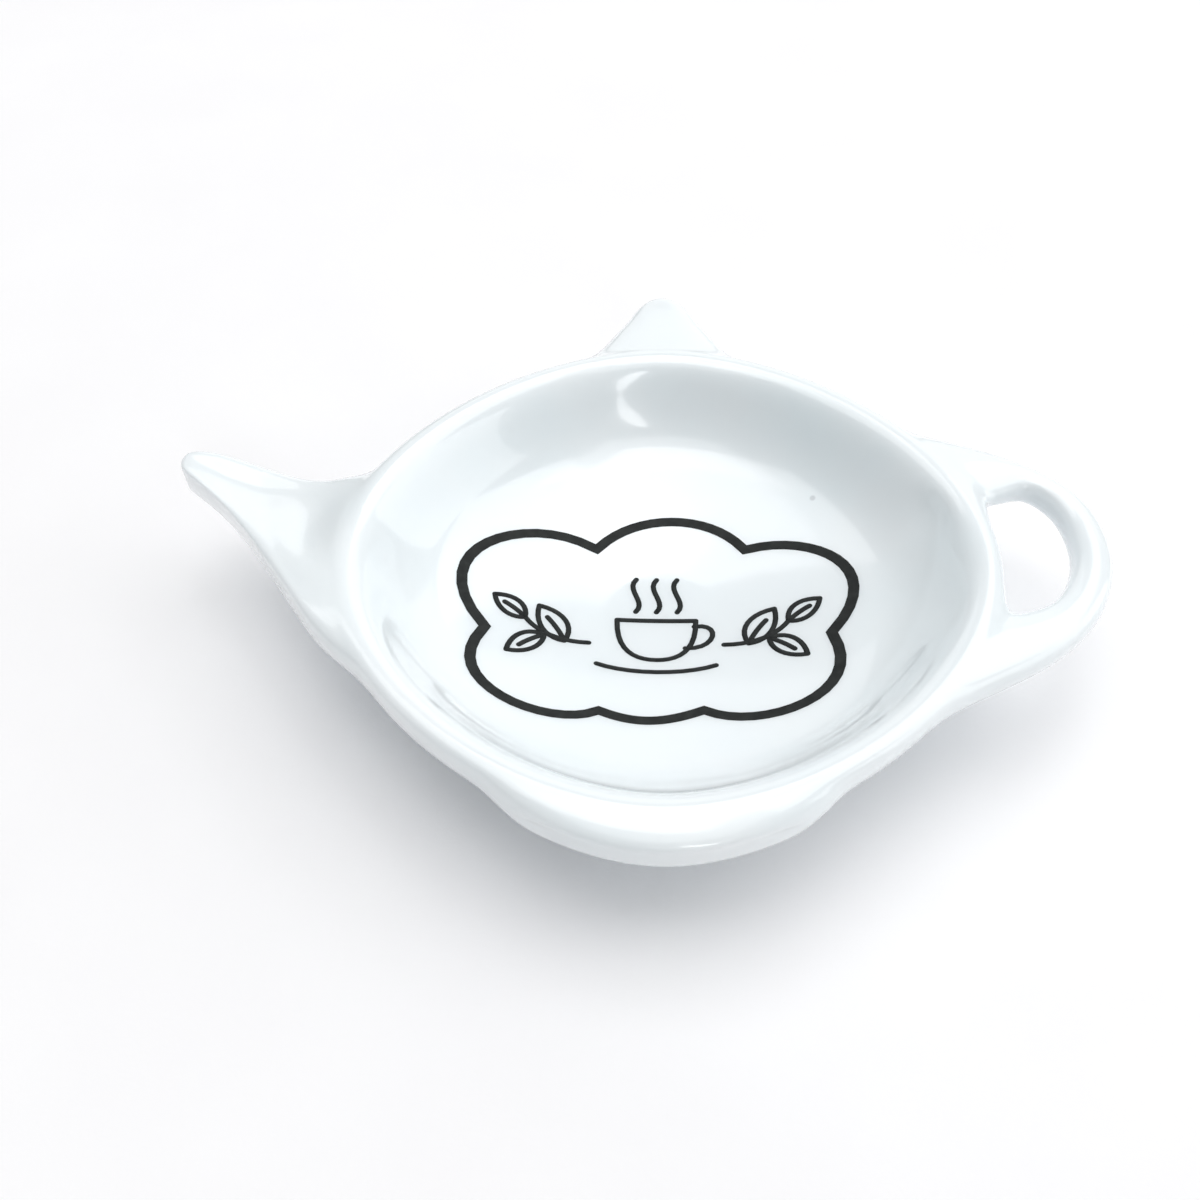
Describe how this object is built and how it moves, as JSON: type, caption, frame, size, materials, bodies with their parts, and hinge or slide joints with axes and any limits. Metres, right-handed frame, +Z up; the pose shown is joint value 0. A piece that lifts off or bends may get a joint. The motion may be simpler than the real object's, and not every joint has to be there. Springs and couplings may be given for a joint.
{
  "type": "tea bag rest",
  "caption": "Small glazed porcelain dish shaped like a teapot seen from the side, to lay a used tea bag or teaspoon on, with a line print on its floor.",
  "frame": {"origin": "on the table, under the middle of the piece's outline", "axes": "+X to the handle, +Y to the lid knob, +Z up out of the dish"},
  "size_m": [0.1196, 0.0936, 0.019],
  "materials": {
    "glazed_porcelain": "clear gloss glaze over cool white porcelain",
    "bare_porcelain": "unglazed, ground flat and slightly rough",
    "fired_print": "charcoal transfer print fired into the glaze"
  },
  "bodies": {
    "root": {"bowl": "glazed_porcelain", "foot_ring": "bare_porcelain", "spout": "glazed_porcelain", "handle": "glazed_porcelain", "lid_knob": "glazed_porcelain", "base_lobe": "glazed_porcelain", "cloud_line": "fired_print", "cup_mark": "fired_print", "leaf_sprigs": "fired_print"}
  },
  "joints": []
}
